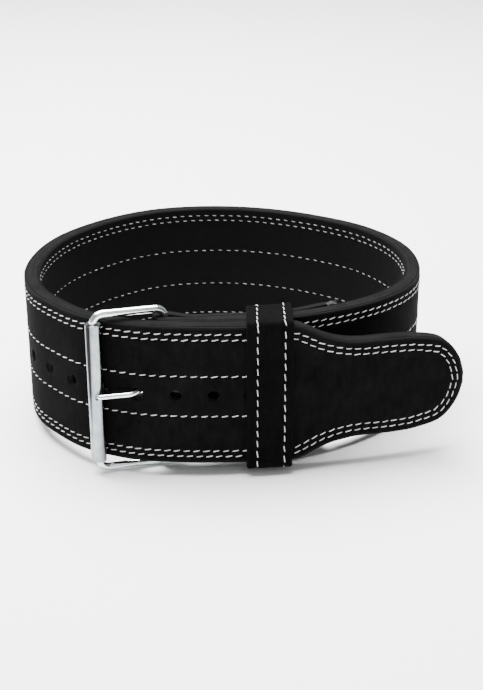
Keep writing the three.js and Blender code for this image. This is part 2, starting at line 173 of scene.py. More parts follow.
def stand(points):
    """Points beside the belt, in millimetres of the drawing frame, as metres in the row frame."""
    return (turn(points) + np.array(SEAT)) / 1000.0


def place(points):
    """Points of the belt, whose upright lines lean sideways, as metres in the row frame."""
    points = np.array(points, float)
    points[..., 0] -= RACKING * points[..., 2]
    return stand(points)


def unit(vectors):
    """Vectors scaled to length one."""
    vectors = np.asarray(vectors, float)
    return vectors / np.linalg.norm(vectors, axis=-1, keepdims=True)


def right_of(direction):
    """Right-hand side of plan directions, which is outward for the anticlockwise ring."""
    return np.stack([direction[..., 1], -direction[..., 0]], axis=-1)


def smooth(share):
    """Smooth step from 0 to 1."""
    share = np.clip(share, 0.0, 1.0)
    return share * share * (3 - 2 * share)


def lift_to_3d(plan, height):
    """Plan points with their heights."""
    height = np.broadcast_to(np.asarray(height, float)[..., None], plan.shape[:-1] + (1,))
    return np.concatenate([plan, height], axis=-1)


def run_lengths(points):
    """Length along a line of points, from 0 at its first."""
    steps = np.linalg.norm(np.diff(points, axis=0), axis=1)
    return np.concatenate([[0.0], np.cumsum(steps)])


def looped(points):
    """A line of points that ends with its first again."""
    return np.vstack([points, points[:1]])


def course_of(points, loop=False):
    """Directions along a line of points."""
    if loop:
        return unit(np.roll(points, -1, 0) - np.roll(points, 1, 0))
    return unit(np.vstack([points[1:], points[-1:]]) - np.vstack([points[:1], points[:-1]]))


def interpolate(at, run, values):
    """Rows of values at lengths along a line."""
    return np.stack([np.interp(at, run, column) for column in values.T], -1)


def tube_faces(first, rings, sides):
    """Faces of a closed tube whose points begin at a number and run ring by ring."""
    last = first + (rings - 1) * sides
    faces = []
    for here in range(first, last, sides):
        for k in range(sides):
            beside = (k + 1) % sides
            faces.append((here + k, here + beside, here + sides + beside, here + sides + k))
    return faces + [tuple(range(first, first + sides))[::-1], tuple(range(last, last + sides))]


def hide_marks(shape, edge, off, run, hole=0.0):
    """Point marks that the suede and leather materials read."""
    values = {"edge_mm": edge, "off_mm": off, "run_mm": run, "hole": hole}
    return {name: np.broadcast_to(value, shape) for name, value in values.items()}


def mesh_object(name, verts, faces, uvs=None, marks=None):
    """A mesh piece from points in the drawing frame, with its UVs by face corner and its point marks."""
    mesh = bpy.data.meshes.new(name)
    mesh.from_pydata([tuple(v) for v in place(verts)], [], [tuple(int(i) for i in f) for f in faces])
    if uvs is not None:
        layer = mesh.uv_layers.new(name="run")
        layer.data.foreach_set("uv", np.asarray(uvs, np.float32).ravel())
    for mark, values in (marks or {}).items():
        layer = mesh.attributes.new(mark, "FLOAT", "POINT")
        layer.data.foreach_set("value", np.asarray(values, np.float32).ravel())
    mesh.validate()
    piece = bpy.data.objects.new(name, mesh)
    bpy.context.scene.collection.objects.link(piece)
    mesh.shade_smooth()
    return piece


def outward_normals(piece):
    """Turns a closed piece's faces outward."""
    shape = bmesh.new()
    shape.from_mesh(piece.data)
    bmesh.ops.recalc_face_normals(shape, faces=shape.faces)
    shape.to_mesh(piece.data)
    shape.free()


def loft(name, grid, uv, marks=None, closed_along=False):
    """Closed piece through rows of a closed profile; uv has one more column than the grid."""
    count, sides = grid.shape[:2]
    rows = count if closed_along else count - 1
    i = np.repeat(np.arange(rows), sides)
    j = np.tile(np.arange(sides), rows)
    i_next = (i + 1) % count
    j_next = (j + 1) % sides
    faces = np.stack([i * sides + j, i_next * sides + j, i_next * sides + j_next, i * sides + j_next], 1)
    far = uv[i_next, j], uv[i_next, j + 1]
    if closed_along:
        wrap = (i + 1 == count)[:, None] * np.array([uv[1:, 0, 0].max() + (uv[1, 0, 0] - uv[0, 0, 0]), 0.0])
        far = far[0] + wrap, far[1] + wrap
    corners = np.stack([uv[i, j], far[0], far[1], uv[i, j + 1]], 1).reshape(-1, 2)
    faces = [tuple(f) for f in faces]
    if not closed_along:
        faces.append(tuple(range(sides)))
        faces.append(tuple(reversed(range((count - 1) * sides, count * sides))))
        corners = np.concatenate([corners, uv[0, :sides], uv[-1, :sides][::-1]])
    flat_marks = {mark: values.reshape(-1) for mark, values in (marks or {}).items()}
    piece = mesh_object(name, grid.reshape(-1, 3), faces, corners, flat_marks)
    outward_normals(piece)
    return piece


# Ring and strap

def centripetal(p0, p1, p2, p3, weight):
    """Centripetal curve between the middle two of four points."""
    d0, d1, d2 = (
        np.sqrt(np.linalg.norm(b - a, axis=-1, keepdims=True)) for a, b in ((p0, p1), (p1, p2), (p2, p3))
    )
    t1 = ((p1 - p0) / d0 - (p2 - p0) / (d0 + d1) + (p2 - p1) / d1) * d1
    t2 = ((p2 - p1) / d1 - (p3 - p1) / (d1 + d2) + (p3 - p2) / d2) * d1
    c2 = -3 * p1 + 3 * p2 - 2 * t1 - t2
    c3 = 2 * p1 - 2 * p2 + t1 + t2
    return p1 + t1 * weight + c2 * weight ** 2 + c3 * weight ** 3


def closed_curve(rows, samples):
    """Even samples of the closed centripetal curve through the outline's rows."""
    span = np.linspace(0, len(rows), samples, endpoint=False)
    index = np.floor(span).astype(int)
    return centripetal(*(rows[(index + shift) % len(rows)] for shift in (-1, 0, 1, 2)), (span - index)[:, None])


ring_loop = looped(closed_curve(np.array(RING_OUTLINE) * (RING_ACROSS / 2, RING_DEEP / 2), 16000))
ring_run = run_lengths(ring_loop)
RING_LENGTH = ring_run[-1]


def ring_centre(distance):
    """Points of the ring's middle line at distances along it."""
    return interpolate(np.mod(distance, RING_LENGTH), ring_run, ring_loop)


def ring_face(distance):
    """The single layer's outer face: points, directions along it and outward."""
    distance = np.asarray(distance, float)
    along = unit(ring_centre(distance + 0.4) - ring_centre(distance - 0.4))
    outward = right_of(along)
    return ring_centre(distance) + outward * BELT_THICKNESS / 2, along, outward


def front_face(distance):
    """The same for the front layer, which crosses over the buckle end and then leaves the ring."""
    distance = np.asarray(distance, float)
    joined = np.minimum(distance, TIP_DEPARTS_AT)
    point, along, outward = ring_face(joined)
    lift = (BELT_THICKNESS + LAYER_GAP) * smooth(1 + joined / CROSSING_LENGTH)
    bend = (distance - joined) / TIP_BEND_RADIUS
    point = point + outward * (lift - TIP_BEND_RADIUS * (1 - np.cos(bend)))[..., None]
    point = point + along * (TIP_BEND_RADIUS * np.sin(bend))[..., None]
    cos, sin = np.cos(bend)[..., None], np.sin(bend)[..., None]
    along = along * cos - outward * sin
    return point, along, right_of(along)


def skived_leather(distance):
    """Leather left in the buckle end at distances from the heel bar."""
    return FOLD_LEATHER + (LEATHER_THICKNESS - FOLD_LEATHER) * smooth(distance / SKIVE_LENGTH)


def tail_face(distance):
    """Suede face of the tail folded back inside the ring."""
    distance = np.asarray(distance, float)
    over_bar = (WIRE_DIAMETER + 2 * WIRE_CLEARANCE - LAYER_GAP) * (1 - smooth(distance / HEEL_RUN))
    keeper_end = KEEPER_AT + KEEPER_WIDTH / 2
    flare = TAIL_LIFT * smooth((distance - keeper_end) / (TAIL_LENGTH - keeper_end))
    point, along, outward = ring_face(distance)
    coats = 2 * (SUEDE_THICKNESS + GLUE_GAP)
    depth = skived_leather(distance) + LAYER_GAP + over_bar + flare + FOLD_LEATHER + coats
    return point - outward * depth[..., None], along, outward


heel_point, heel_along, heel_outward = ring_face(0.0)
FOLD_RADIUS = WIRE_DIAMETER / 2 + WIRE_CLEARANCE + FOLD_LEATHER + GLUE_GAP + SUEDE_THICKNESS
heel_bar = heel_point - heel_outward * FOLD_RADIUS
roller_point, _, roller_outward = front_face(ROLLER_AT)
front_bar = roller_point + roller_outward * (ROLLER_DIAMETER / 2 + ROLLER_GAP)


def spline(rows, shares):
    """Points of the open uniform curve through rows, at shares of it."""
    rows = np.asarray(rows, float)
    last = len(rows) - 1
    span = np.clip(np.asarray(shares) * last, 0, last)
    index = np.minimum(np.floor(span).astype(int), last - 1)
    weight = (span - index)[:, None]
    p0, p1, p2, p3 = (rows[np.clip(index + shift, 0, last)] for shift in (-1, 0, 1, 2))
    v1 = (p2 - p0) / 2
    v2 = (p3 - p1) / 2
    return (
        (2 * p1 - 2 * p2 + v1 + v2) * weight ** 3
        + (-3 * p1 + 3 * p2 - 2 * v1 - v2) * weight ** 2
        + v1 * weight
        + p1
    )


def strap_rows():
    """Rows along the strap's outer suede face, from the end of the tail to the end of the tip."""
    parts = []

    def add(kind, distance, point, leather, half=MIDDLE, rise=0.0, rim=(0.0, 1.0)):
        count = len(distance)
        rim = np.broadcast_to(np.asarray(rim, float), (count, 2))
        fill = lambda value: np.broadcast_to(np.asarray(value, float), (count,))
        parts.append((np.full(count, kind), distance, point, fill(leather), fill(half), fill(rise), rim))

    distance = np.arange(TAIL_LENGTH, 0, -2.5)
    add(TAIL, distance, tail_face(distance)[0], FOLD_LEATHER)
    angle = np.linspace(math.pi, 0, 25)[:-1]
    base = math.atan2(heel_outward[1], heel_outward[0])
    arm = np.stack([np.cos(base - angle), np.sin(base - angle)], 1)
    add(FOLD, angle * 0, heel_bar + arm * FOLD_RADIUS, FOLD_LEATHER)
    distance = np.arange(0, LINING_START, 2.5)
    add(BUCKLE_END, distance, ring_face(distance)[0], skived_leather(distance))
    distance = np.linspace(LINING_START, RING_LENGTH - CROSSING_LENGTH, 230)[:-1]
    add(BODY, distance, ring_face(distance)[0], LEATHER_THICKNESS)

    def rise_at(distance):
        return TIP_RISE * (np.maximum(distance - TIP_DEPARTS_AT, 0) / TIP_LENGTH) ** 2

    taper_start = TIP_DEPARTS_AT + TIP_LENGTH - TIP_TAPER
    distance = np.linspace(-CROSSING_LENGTH, taper_start, 60)[:-1]
    add(FRONT, distance, front_face(distance)[0], LEATHER_THICKNESS, rise=rise_at(distance))
    share = 1 - np.linspace(0, 1, 86)
    outline = np.array(TIP_OUTLINE) * (-TIP_TAPER, MIDDLE)
    rim = spline(outline, share)
    course = unit(spline(outline, share + 1e-3) - spline(outline, share - 1e-3))
    distance = TIP_DEPARTS_AT + TIP_LENGTH + rim[:, 0]
    normal = np.stack([course[:, 1], -course[:, 0]], 1)
    add(TIP, distance, front_face(distance)[0], LEATHER_THICKNESS, rim[:, 1], rise_at(distance), normal)

    kind, distance, point, leather, half, rise, rim = (np.concatenate(items) for items in zip(*parts))
    along = course_of(point)
    return {
        "kind": kind, "distance": distance, "point": point, "leather": leather, "half": half,
        "rise": rise, "rim": rim, "along": along, "outward": right_of(along), "run": run_lengths(point),
    }


TAIL, FOLD, BUCKLE_END, BODY, FRONT, TIP = range(6)
strap = strap_rows()


def rows_where(rows, mask):
    """The rows that a mask picks."""
    return {key: values[mask] for key, values in rows.items()}


def strap_point(rows, depth, inset, side):
    """Points at a depth under the outer face, at an inset from the outline, on the upper or lower side."""
    plan = rows["point"] - rows["outward"] * np.broadcast_to(depth, rows["half"].shape)[:, None]
    plan = plan - rows["along"] * (inset * rows["rim"][:, 0])[:, None]
    height = MIDDLE + rows["rise"] + side * (rows["half"] - inset * rows["rim"][:, 1])
    return lift_to_3d(plan, height)


def edge_distance(rows, offset):
    """Distance of points from the strap's outline, by their rows and their heights off the middle."""
    reach = rows["half"][:, None] - np.abs(offset)
    tip = rows["kind"] == TIP
    run, half = rows["run"][tip], rows["half"][tip]
    if not tip.any():
        return reach
    outline = np.stack([np.append(run, run[-1]), np.append(half, 0)], 1)
    places = np.stack([np.broadcast_to(run[:, None], offset[tip].shape), np.abs(offset[tip])], -1)
    gaps = np.linalg.norm(places[:, :, None, :] - outline[None, None, :, :], axis=-1)
    reach = reach.copy()
    reach[tip] = np.minimum(gaps.min(-1), np.maximum(reach[tip], 0))
    return reach


def layer_piece(name, rows, outer, inner, setback, radius, columns, arc_steps=4):
    """One layer of the strap between two depths, with rounded long edges."""
    count = len(rows["half"])
    outer = np.broadcast_to(outer, (count,)).astype(float)
    inner = np.broadcast_to(inner, (count,)).astype(float)
    radius = np.minimum(radius, 0.49 * (inner - outer))
    points, offsets, reaches = [], [], []

    def add(depth, inset, level):
        points.append(strap_point(rows, depth, inset, level))
        offsets.append(level * (rows["half"] - inset * rows["rim"][:, 1]))
        reaches.append(inset)

    def add_corner(angles, level, at_outer):
        for angle in angles:
            along, across = radius * (1 - np.cos(angle)), radius * (1 - np.sin(angle))
            if at_outer:
                add(outer + along, setback + across, level)
            else:
                add(inner - across, setback + along, level)

    levels = np.sin(np.linspace(-0.5, 0.5, columns) * math.pi)
    arc = np.linspace(0, math.pi / 2, arc_steps + 1)
    for level in levels:
        add(outer, setback + radius, level)
    add_corner(arc[1:], 1, True)
    add_corner(arc, 1, False)
    for level in levels[::-1][1:-1]:
        add(inner, setback + radius, level)
    add_corner(arc[::-1], -1, False)
    add_corner(arc[:0:-1], -1, True)

    grid = np.stack(points, 1)
    offset = np.stack(offsets, 1)
    edge = np.minimum(edge_distance(rows, offset), MIDDLE)
    rim_columns = np.ones(grid.shape[1], bool)
    rim_columns[1:columns - 1] = False
    edge[:, rim_columns] = np.minimum(edge[:, rim_columns], np.stack(reaches, 1)[:, rim_columns])
    around = run_lengths(looped(grid[0]))
    run = np.broadcast_to(rows["run"][:, None], (count, grid.shape[1] + 1))
    uv = np.stack([run, np.broadcast_to(around, run.shape)], -1) / 1000.0
    return loft(name, grid, uv, hide_marks(edge.shape, edge, np.abs(offset), run[:, :1]))


def cut_out(piece, cutter):
    """Cuts a closed piece with another."""
    cut = piece.modifiers.new("cut", "BOOLEAN")
    cut.operation = "DIFFERENCE"
    cut.solver = "EXACT"
    cut.object = cutter
    with bpy.context.temp_override(object=piece, active_object=piece, selected_objects=[piece]):
        bpy.context.view_layer.objects.active = piece
        bpy.ops.object.modifier_apply(modifier="cut")


def place_along_front(start, length):
    """Place on the front layer at a true length from another."""
    if not length:
        return start
    distance = np.arange(start, start + 1.4 * length, math.copysign(0.1, length))
    run = run_lengths(front_face(distance)[0])
    return float(np.interp(abs(length), run, distance))


hole_places = [
    place_along_front(PRONG_HOLE_AT, step * HOLE_PITCH)
    for step in range(-HOLES_TOWARD_BODY, HOLES_TOWARD_TIP + 1)
]


def cutter_piece():
    """Rods through every hole and a block through the fold, as one cutter."""
    verts, faces = [], []

    def add_prism(*ends):
        faces.extend(tube_faces(sum(len(end) for end in verts), 2, len(ends[0])))
        verts.extend(ends)

    angle = np.linspace(0, 2 * math.pi, 40, endpoint=False)
    height = MIDDLE + np.sin(angle) * HOLE_DIAMETER / 2
    for distance in hole_places:
        point, along, outward = front_face(distance)
        across = np.cos(angle)[:, None] * along * HOLE_DIAMETER / 2
        depths = (-0.8, BELT_THICKNESS + 0.25)
        add_prism(*(lift_to_3d(point - outward * depth + across, height) for depth in depths))
    reach = FOLD_RADIUS + LAYER_GAP / 2
    back = -FOLD_RADIUS - LAYER_GAP
    corners = [(back, -reach), (PRONG_SLOT_REACH, -reach), (PRONG_SLOT_REACH, reach), (back, reach)]
    plan = np.array([heel_bar + heel_along * a + heel_outward * o for a, o in corners])
    levels = (MIDDLE - PRONG_SLOT_HEIGHT / 2, MIDDLE + PRONG_SLOT_HEIGHT / 2)
    add_prism(*(lift_to_3d(plan, np.full(4, level)) for level in levels))
    verts = np.vstack(verts)
    uvs = np.zeros((sum(len(f) for f in faces), 2))
    piece = mesh_object("cutter", verts, faces, uvs, hide_marks(len(verts), 0.0, 5.0, 300.0, 1.0))
    outward_normals(piece)
    return piece


# Stitches

def resample(points, normals, spacing, start=0.0):
    """Centres, tangents and normals at even spacings along a line of points."""
    run = run_lengths(points)
    stops = np.arange(start + spacing / 2, run[-1], spacing)
    pick = lambda values, at: interpolate(at, run, values)
    tangents = unit(pick(points, stops + 0.5) - pick(points, stops - 0.5))
    return pick(points, stops), tangents, unit(pick(normals, stops))


def stitches(centres, tangents, normals, slant, length=STITCH_LENGTH, seed=1):
    """Thread bodies of a row of stitches, each dipping into the hide at both ends."""
    chance = np.random.default_rng(seed)
    count = len(centres)
    side = unit(np.cross(normals, tangents))
    angle = math.radians(slant) + chance.normal(0, math.radians(1.6), count)
    course = tangents * np.cos(angle)[:, None] + side * np.sin(angle)[:, None]
    flank = unit(np.cross(normals, course))
    shift = chance.normal(0, 0.12, count)[:, None]
    centres = centres + tangents * shift + side * chance.normal(0, 0.06, count)[:, None]
    reach = 0.5 * length * (1 + chance.normal(0, 0.03, count))
    stops = np.array([-1.0, -0.93, -0.75, -0.4, 0.0, 0.4, 0.75, 0.93, 1.0])
    width = np.array([0.55, 0.85, 1.0, 1.06, 1.08, 1.06, 1.0, 0.85, 0.55]) * THREAD_RADIUS
    lift = np.array([-0.55, -0.2, 0.02, 0.13, 0.17, 0.13, 0.02, -0.2, -0.55])
    around = np.linspace(0, 2 * math.pi, 8, endpoint=False)
    spine = centres[:, None] + course[:, None] * (stops[None, :, None] * reach[:, None, None])
    spine = spine + normals[:, None] * lift[None, :, None]
    width = width[None, :, None, None]
    ring = flank[:, None, None] * (np.cos(around)[None, None, :, None] * width)
    ring = ring + normals[:, None, None] * (np.sin(around)[None, None, :, None] * width * 0.85)
    verts = spine[:, :, None] + ring
    shade = np.broadcast_to(chance.uniform(0, 1, count)[:, None, None], verts.shape[:3])
    across = np.broadcast_to((stops * length / 2)[None, :, None], verts.shape[:3])
    return verts, shade, across


def thread_piece(name, rows):
    """One piece from rows of stitches."""
    verts = np.concatenate([row[0] for row in rows])
    shade = np.concatenate([row[1] for row in rows])
    across = np.concatenate([row[2] for row in rows])
    count, rings, sides = verts.shape[:3]
    index = np.arange(count * rings * sides).reshape(count, rings, sides)
    here = index[:, :-1]
    ahead = index[:, 1:]
    quads = np.stack([here, np.roll(here, -1, 2), np.roll(ahead, -1, 2), ahead], -1).reshape(-1, 4)
    turn_here = np.broadcast_to(np.arange(sides) / sides, here.shape)
    turn_next = turn_here + 1 / sides
    u_here = across.reshape(count, rings, sides)[:, :-1]
    u_next = across.reshape(count, rings, sides)[:, 1:]
    uv = np.stack([
        np.stack([u_here, turn_here], -1), np.stack([u_here, turn_next], -1),
        np.stack([u_next, turn_next], -1), np.stack([u_next, turn_here], -1),
    ], -2).reshape(-1, 2)
    return mesh_object(name, verts.reshape(-1, 3), quads, uv, {"shade": shade})


def face_line(rows, depth, inset, side, outward_sign):
    """A stitch line on a face of the strap, with its normals."""
    points = strap_point(rows, depth, inset, side)
    normals = lift_to_3d(rows["outward"] * outward_sign, np.zeros(len(points)))
    return points, normals


def border_line(rows, depth, inset, outward_sign):
    """A stitch line along the upper edge, round the tip's end and back along the lower edge."""
    upper, normals = face_line(rows, depth, inset, 1, outward_sign)
    lower, _ = face_line(rows, depth, inset, -1, outward_sign)
    return np.vstack([upper, lower[::-1]]), np.vstack([normals, normals[::-1]])


def middle_line(rows, depth, offset, outward_sign):
    """A stitch line at a height off the strap's middle."""
    plan = rows["point"] - rows["outward"] * depth
    points = lift_to_3d(plan, MIDDLE + rows["rise"] + offset)
    return points, lift_to_3d(rows["outward"] * outward_sign, np.zeros(len(points)))


is_body = strap["kind"] == BODY
is_front = (strap["kind"] == FRONT) | (strap["kind"] == TIP)
visible_end = (strap["kind"] == BUCKLE_END) & (strap["distance"] > 62)
keeper_low = KEEPER_AT - KEEPER_WIDTH / 2 + 2.0
keeper_high = KEEPER_AT + KEEPER_WIDTH / 2 - 0.5


def stitched_face(ring, tip, tail, depth, sign, slants, length, seed):
    """Every row on one face of the ring and the tip, and on the tail where there is one."""
    rows = []

    def sew(line, pitch, start, slant, seed):
        rows.append(stitches(*resample(*line, pitch, start), slant, length, seed))

    for inset in EDGE_ROWS:
        for side in (1, -1):
            sew(face_line(ring, depth, inset, side, sign), STITCH_PITCH, inset % 3, slants[0], seed)
            if tail:
                sew(face_line(tail, 0.0, inset, side, 1), STITCH_PITCH, 0.0, -slants[0], seed + 20)
            seed += 1
        sew(border_line(tip, depth, inset, sign), STITCH_PITCH * 0.97, 0.0, slants[1], seed)
        seed += 1
    for offset in (MIDDLE_ROW, -MIDDLE_ROW):
        sew(middle_line(ring, depth, offset, sign), STITCH_PITCH * 1.03, 2.0, slants[0], seed)
        seed += 1
    return rows


before_keeper = strap["distance"] < keeper_low
outer_ring = rows_where(strap, visible_end | is_body | (is_front & before_keeper))
inner_ring = rows_where(strap, is_body | (is_front & (strap["distance"] < -14)))
stitched_tip = rows_where(strap, is_front & (strap["distance"] > keeper_high))
stitched_tail = rows_where(strap, (strap["kind"] == TAIL) & (strap["distance"] > 16) & before_keeper)


# Buckle

frame_along = unit(front_bar - heel_bar)
frame_out = -right_of(frame_along)
FRAME_DEPTH = float(np.linalg.norm(front_bar - heel_bar))


def frame_point(along, out, height):
    """Point by its distances along the buckle frame and out of it."""
    plan = heel_bar + frame_along * along + frame_out * out
    return np.array([plan[0], plan[1], height])


def sweep(name, points, radii, sides=24, closed=False, up=(0.0, 0.0, 1.0), flatten=1.0):
    """Round bar through points, with a radius at each."""
    points = np.asarray(points, float)
    radii = np.broadcast_to(radii, (len(points),))
    along = course_of(points, closed)
    side = unit(np.cross(along, np.broadcast_to(up, along.shape)))
    top = unit(np.cross(side, along))
    around = np.linspace(0, 2 * math.pi, sides, endpoint=False)
    grid = points[:, None] + radii[:, None, None] * (
        np.cos(around)[None, :, None] * side[:, None] + flatten * np.sin(around)[None, :, None] * top[:, None]
    )
    run = run_lengths(points)
    around = np.linspace(0, 2 * math.pi, sides + 1) * radii.max()
    uv = np.stack(np.meshgrid(run, around, indexing="ij"), -1) / 1000.0
    return loft(name, grid, uv, closed_along=closed)


def buckle_frame():
    """Closed rectangle of round wire with rounded corners."""
    low = -FRAME_DROP - FRAME_SLACK - WIRE_DIAMETER / 2
    high = BELT_WIDTH - FRAME_DROP + FRAME_SLACK + WIRE_DIAMETER / 2
    corners = [
        (FRAME_CORNER, low + FRAME_CORNER, 1.0),
        (FRAME_DEPTH - FRAME_CORNER, low + FRAME_CORNER, 1.5),
        (FRAME_DEPTH - FRAME_CORNER, high - FRAME_CORNER, 0.0),
        (FRAME_CORNER, high - FRAME_CORNER, 0.5),
    ]
    points = []
    for along, height, start in corners:
        for angle in np.linspace(start * math.pi, (start + 0.5) * math.pi, 13):
            reach = along + FRAME_CORNER * math.cos(angle)
            points.append(frame_point(reach, 0, height + FRAME_CORNER * math.sin(angle)))
    dense = []
    for here, ahead in zip(points, points[1:] + points[:1]):
        steps = max(1, int(np.linalg.norm(ahead - here) / 4))
        dense += [here + (ahead - here) * k / steps for k in range(steps)]
    side = np.array([frame_out[0], frame_out[1], 0.0])
    return sweep("wire_frame", dense, WIRE_DIAMETER / 2, 24, True, up=side)


def prong_line(count):
    """The prong's middle line, from its eye out through the hole and down onto the roller."""
    point, along, outward = front_face(PRONG_HOLE_AT)

    def at(reach, out):
        height = MIDDLE + PRONG_EYE_LIFT - PRONG_DROOP * reach / FRAME_DEPTH
        return frame_point(reach, out, height)

    def through(distance, out):
        plan = point - along * distance + outward * out - heel_bar
        return at(float(plan @ frame_along), float(plan @ frame_out))

    seat = ROLLER_DIAMETER / 2 + PRONG_DIAMETER / 2 - PRONG_NOTCH
    start = WIRE_DIAMETER / 2 + PRONG_EYE_WALL
    play = (HOLE_DIAMETER - PRONG_DIAMETER) / 2
    crest = through(PRONG_CREST_AT, PRONG_CREST_RISE)
    last = at(FRAME_DEPTH + PRONG_OVERHANG, seat)
    rows = np.array([
        at(start, start / 3),
        through(-play, -BELT_THICKNESS * 0.75),
        through(-play / 2, -BELT_THICKNESS / 4),
        crest,
        crest + (last - crest) / 3,
        crest + (last - crest) * 2 / 3,
        last,
    ])
    extended = np.vstack([2 * rows[0] - rows[1], rows, 2 * rows[-1] - rows[-2]])
    weight = np.linspace(0, 1, 60, endpoint=False)[:, None]
    dense = [centripetal(*extended[k:k + 4], weight) for k in range(len(rows) - 1)]
    line = np.vstack(dense + [rows[-1:]])
    run = run_lengths(line)
    return interpolate(np.linspace(0, run[-1], count), run, line)


def prong_pieces():
    """The prong with a domed end, and its eye round the heel bar."""
    line = prong_line(64)
    radius = PRONG_DIAMETER / 2
    run = run_lengths(line)
    left = run[-1] - run
    radii = radius * np.sqrt(np.clip(1 - (1 - np.clip(left / radius, 0, 1)) ** 2, 0.004, 1))
    shaft = sweep("prong_shaft", line, radii, 20, flatten=0.96)
    height = MIDDLE + PRONG_EYE_LIFT
    inner = WIRE_DIAMETER / 2 + WIRE_CLEARANCE * 0.6
    outer = WIRE_DIAMETER / 2 + WIRE_CLEARANCE + PRONG_EYE_WALL
    eye = turned("prong_eye", heel_bar, height, inner, outer, PRONG_DIAMETER, 0.7, 40)
    return shaft, eye


def turned(name, centre, height, inner, outer, length, lip, sides, flute=None, seam_and_painted_shade=None):
    """Upright tube round a point in plan, with rounded lips."""
    arc = np.linspace(0, math.pi / 2, 6)
    half = length / 2
    lip_in = min(lip, (outer - inner) * 0.45)
    steps = max(2, int(length / 1.2))
    profile = [(outer - lip + lip * math.sin(a), half - lip + lip * math.cos(a)) for a in arc]
    profile += [(outer, z) for z in np.linspace(half - lip, -half + lip, steps)[1:-1]]
    profile += [(outer - lip + lip * math.cos(a), -half + lip - lip * math.sin(a)) for a in arc]
    profile += [(inner + lip_in - lip_in * math.sin(a), -half + lip_in - lip_in * math.cos(a)) for a in arc]
    profile += [(inner + lip_in - lip_in * math.cos(a), half - lip_in + lip_in * math.sin(a)) for a in arc]
    profile = np.array(profile)
    angle = np.linspace(0, 2 * math.pi, sides, endpoint=False)
    radius = profile[:, 0][None] * np.ones((sides, 1))
    level = profile[:, 1][None] * np.ones((sides, 1))
    spread = angle[:, None] * np.ones((1, len(profile)))
    if flute is not None:
        radius = flute(radius, level, spread)
    marks = {"seam_and_painted_shade": seam_and_painted_shade(level, spread) if seam_and_painted_shade is not None else np.zeros(radius.shape)}
    plan = centre + radius[..., None] * np.stack([np.cos(angle), np.sin(angle)], 1)[:, None]
    grid = lift_to_3d(plan, height + level)
    around = run_lengths(looped(profile))
    uv = np.stack(np.meshgrid(angle * outer, around, indexing="ij"), -1) / 1000.0
    return loft(name, grid, uv, marks, closed_along=True)


def roller_piece():
    """Tube on the front bar, rolled from sheet: a seam that opens at the top, and a seat for the prong."""
    line = prong_line(240)
    reach = ROLLER_DIAMETER / 2

    def off_seam(angle):
        turned_off = np.angle(np.exp(1j * (angle - math.radians(ROLLER_SEAM_ANGLE))))
        return np.abs(turned_off) * reach

    def seam_width(level):
        return SEAM_WIDTH * (0.25 + 0.75 * smooth(0.55 + level / ROLLER_LENGTH))

    def flute(radius, level, angle):
        outside = radius > reach - 0.01
        radius = radius - outside * 0.3 * np.exp(-(off_seam(angle) / seam_width(level)) ** 2)
        plan = front_bar + radius[..., None] * np.stack([np.cos(angle), np.sin(angle)], -1)
        places = lift_to_3d(plan, MIDDLE - FRAME_DROP + level)
        near = np.abs(level + 2.5) < 8
        away = np.full(radius.shape, 99.0)
        away[near] = np.linalg.norm(places[near][:, None] - line[None], axis=-1).min(-1)
        dent = np.clip(PRONG_DIAMETER / 2 + 0.25 - away, 0, 1.6)
        return radius - outside * dent

    def seam_and_painted_shade(level, angle):
        seam = np.exp(-(off_seam(angle) / seam_width(level)) ** 2) * smooth(0.62 + level / ROLLER_LENGTH)
        # Painted shade: a dark wedge on the roller's right front, just above the prong, standing for the prong's
        # shadow and reflection. The seam's dark line is the tube's own joint.
        rightward = np.cos(angle) - 0.72 - 0.28 * np.abs(level - PRONG_SHADE_LEVEL) / PRONG_SHADE_REACH
        painted_prong_shade = smooth(0.5 + rightward / 0.12) * (np.sin(angle) < 0.2)
        return np.clip(np.maximum(1.6 * seam, painted_prong_shade * (np.abs(level - PRONG_SHADE_LEVEL) < PRONG_SHADE_REACH)), 0, 1)

    return turned("roller_tube", front_bar, MIDDLE - FRAME_DROP, WIRE_DIAMETER / 2 + WIRE_CLEARANCE,
                  reach, ROLLER_LENGTH, 0.45, 120, flute, seam_and_painted_shade)


# Keeper

def keeper_contour(offset, radius, steps=7, straight=26):
    """Loop round the stack in shares of its depth and in height, offset outward, with its outward normals."""
    corners = []
    for sign_t, sign_z, start in ((1, 1, 0.0), (0, 1, 0.5), (0, 0, 1.0), (1, 0, 1.5)):
        for angle in np.linspace(start * math.pi, (start + 0.5) * math.pi, steps):
            corners.append((sign_t, sign_z, math.cos(angle), math.sin(angle)))
    rows = []
    for here, ahead in zip(corners, corners[1:] + corners[:1]):
        rows.append(here)
        if here[0] != ahead[0] or here[1] != ahead[1]:
            count = straight if here[1] != ahead[1] else 8
            for k in range(1, count):
                w = k / count
                rows.append(tuple(a + (b - a) * w for a, b in zip(here, ahead)))
    return rows


def tail_behind(point, start):
    """Tail's face behind points of the front layer, with the keeper's skew."""
    course = front_face(KEEPER_AT)[1]
    distance = start
    for _ in range(4):
        distance = distance + (point - tail_face(distance)[0]) @ course + KEEPER_SKEW
    return tail_face(distance)


def keeper_surface(shares, offset, radius):
    """Points of the keeper at an offset from what it holds: rows across its width, columns round the loop."""
    rows = keeper_contour(offset, radius)
    distance = KEEPER_AT + shares * KEEPER_WIDTH
    front, _, front_out = front_face(distance)
    rear, _, rear_out = tail_behind(front, distance)
    grid = []
    for t, z, cos, sin in rows:
        base = rear * (1 - t) + front * t
        out = unit(rear_out * (1 - t) + front_out * t)
        flat = offset - radius
        sign = 2 * t - 1
        up = 2 * z - 1
        plan = base + out * (sign * flat + radius * cos)
        height = MIDDLE + up * (MIDDLE + flat) + radius * sin
        grid.append(lift_to_3d(plan, np.full(len(distance), height)))
    return np.stack(grid, 1)


